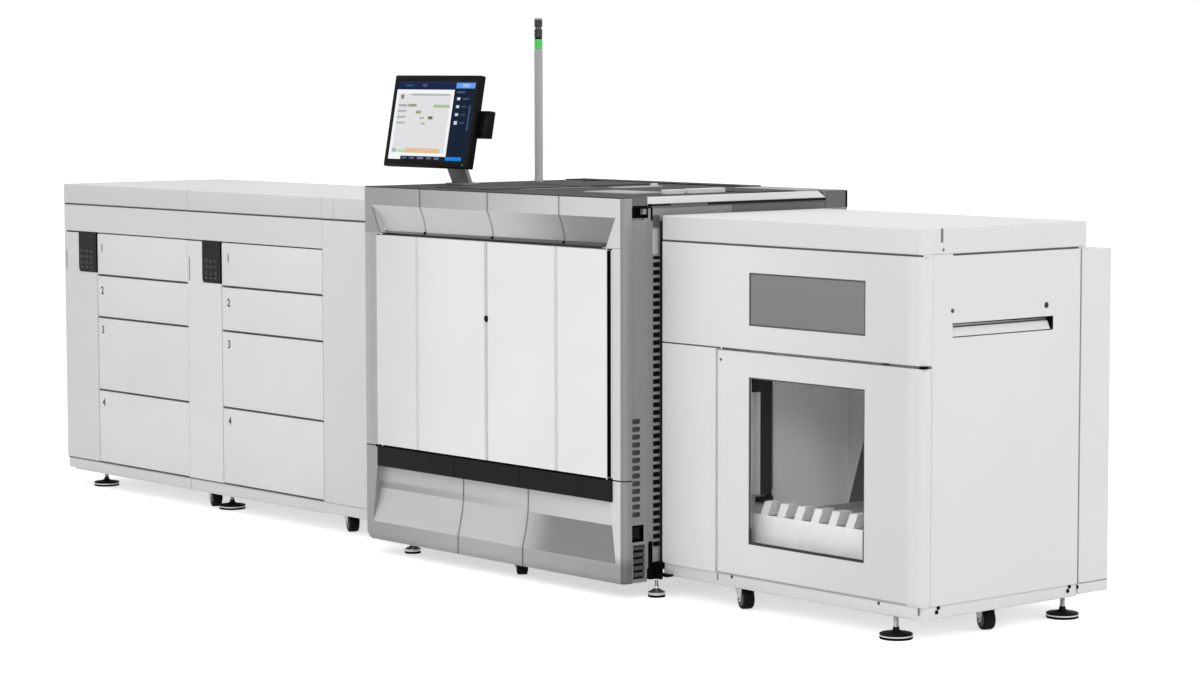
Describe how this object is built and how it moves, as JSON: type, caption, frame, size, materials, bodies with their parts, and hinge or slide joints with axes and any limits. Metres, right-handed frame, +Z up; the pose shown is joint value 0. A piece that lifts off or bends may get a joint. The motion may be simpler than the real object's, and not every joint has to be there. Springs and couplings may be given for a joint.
{
  "type": "digital production printer line",
  "caption": "Grey and white digital production printer: two-bay paper input module, print engine with touch monitor and signal tower, and stacker.",
  "frame": {"origin": "centre of the footprint, on the floor under the levelling feet", "axes": "+X along the line from the paper input module towards the stacker, +Y from the operator side to the rear, +Z up"},
  "size_m": [5.288, 1.097, 2.046],
  "materials": {
    "cover_paint": "fine textured light grey powder coat, satin",
    "drawer_paint": "fine textured light grey powder coat, satin",
    "door_paint": "smooth white paint, satin",
    "silver_paint": "metallic silver paint, satin",
    "housing_paint": "mid grey textured paint",
    "dark_paint": "dark grey textured paint",
    "rail_aluminium": "bright satin trim",
    "black_plastic": "black moulded plastic, satin",
    "bright_steel": "zinc plated steel",
    "screen_glass": "lit display behind glass",
    "smoked_glass": "smoked grey pane",
    "clear_glass": "clear pane with a faint grey tint",
    "pole_steel": "satin grey tube",
    "lamp_lens": "coloured lens segments",
    "castor_rubber": "black castor tread"
  },
  "bodies": {
    "line_frame": {"feeder_base": "cover_paint", "feeder_end_panel": "cover_paint", "feeder_left_column": "cover_paint", "feeder_middle_column": "cover_paint", "feeder_right_cabinet": "cover_paint", "feeder_back_housing": "cover_paint", "feeder_upper_housing": "cover_paint", "feeder_top_cover": "cover_paint", "control_panels": "black_plastic", "drawer_runners": "bright_steel", "engine_housing": "housing_paint", "engine_rear_cover": "housing_paint", "engine_top_cover": "dark_paint", "engine_top_rail": "rail_aluminium", "engine_left_post": "silver_paint", "engine_right_post": "silver_paint", "upper_fascia": "silver_paint", "lower_fascia": "silver_paint", "kick_strip": "black_plastic", "engine_side_covers": "housing_paint", "inner_cover": "dark_paint", "hinge_strip": "black_plastic", "door_pivots": "bright_steel", "monitor_arm": "dark_paint", "signal_pole": "pole_steel", "signal_lamp": "lamp_lens", "stacker_base": "cover_paint", "stacker_left_panel": "cover_paint", "stacker_right_wall": "cover_paint", "stacker_back_housing": "cover_paint", "stacker_upper_housing": "cover_paint", "stacker_upper_panel": "cover_paint", "stacker_upper_window": "smoked_glass", "stacker_top_cover": "cover_paint", "stacker_rear_cover": "cover_paint", "stack_tray": "door_paint", "guide_bar": "black_plastic", "docking_bracket": "black_plastic", "docking_collars": "black_plastic", "levelling_feet": "bright_steel", "castor_forks": "bright_steel", "castor_wheels": "castor_rubber"},
    "drawer_a1_body": {"drawer_a1": "drawer_paint"},
    "drawer_a2_body": {"drawer_a2": "drawer_paint"},
    "drawer_a3_body": {"drawer_a3": "drawer_paint"},
    "drawer_a4_body": {"drawer_a4": "drawer_paint"},
    "drawer_b1_body": {"drawer_b1": "drawer_paint"},
    "drawer_b2_body": {"drawer_b2": "drawer_paint"},
    "drawer_b3_body": {"drawer_b3": "drawer_paint"},
    "drawer_b4_body": {"drawer_b4": "drawer_paint"},
    "front_door_left_body": {"front_door_left": "door_paint", "door_pull_left": "black_plastic"},
    "front_door_right_body": {"front_door_right": "door_paint", "door_pull_right": "black_plastic"},
    "stacker_door_body": {"stacker_door": "cover_paint", "stacker_door_glass": "clear_glass"},
    "touch_monitor_body": {"monitor": "black_plastic", "monitor_glass": "screen_glass", "card_reader": "black_plastic"}
  },
  "joints": [
    {"name": "drawer_a1_slide", "type": "slide", "parent": "line_frame", "child": "drawer_a1_body", "axis": [0, -1, 0], "range_m": [0, 0.5]},
    {"name": "drawer_a2_slide", "type": "slide", "parent": "line_frame", "child": "drawer_a2_body", "axis": [0, -1, 0], "range_m": [0, 0.5]},
    {"name": "drawer_a3_slide", "type": "slide", "parent": "line_frame", "child": "drawer_a3_body", "axis": [0, -1, 0], "range_m": [0, 0.5]},
    {"name": "drawer_a4_slide", "type": "slide", "parent": "line_frame", "child": "drawer_a4_body", "axis": [0, -1, 0], "range_m": [0, 0.5]},
    {"name": "drawer_b1_slide", "type": "slide", "parent": "line_frame", "child": "drawer_b1_body", "axis": [0, -1, 0], "range_m": [0, 0.5]},
    {"name": "drawer_b2_slide", "type": "slide", "parent": "line_frame", "child": "drawer_b2_body", "axis": [0, -1, 0], "range_m": [0, 0.5]},
    {"name": "drawer_b3_slide", "type": "slide", "parent": "line_frame", "child": "drawer_b3_body", "axis": [0, -1, 0], "range_m": [0, 0.5]},
    {"name": "drawer_b4_slide", "type": "slide", "parent": "line_frame", "child": "drawer_b4_body", "axis": [0, -1, 0], "range_m": [0, 0.5]},
    {"name": "front_door_left_hinge", "type": "hinge", "parent": "line_frame", "child": "front_door_left_body", "pos_m": [-0.0385, -0.5345, 0.82], "axis": [0, 0, -1], "range_deg": [0, 100]},
    {"name": "front_door_right_hinge", "type": "hinge", "parent": "line_frame", "child": "front_door_right_body", "pos_m": [1.2725, -0.5345, 0.82], "axis": [0, 0, 1], "range_deg": [0, 100]},
    {"name": "stacker_door_hinge", "type": "hinge", "parent": "line_frame", "child": "stacker_door_body", "pos_m": [1.6745, -0.3615, 0.506], "axis": [0, 0, -1], "range_deg": [0, 100]},
    {"name": "monitor_tilt", "type": "hinge", "parent": "line_frame", "child": "touch_monitor_body", "pos_m": [-0.0165, -0.2505, 1.62], "axis": [-1, 0, 0], "range_deg": [-20, 20]}
  ]
}
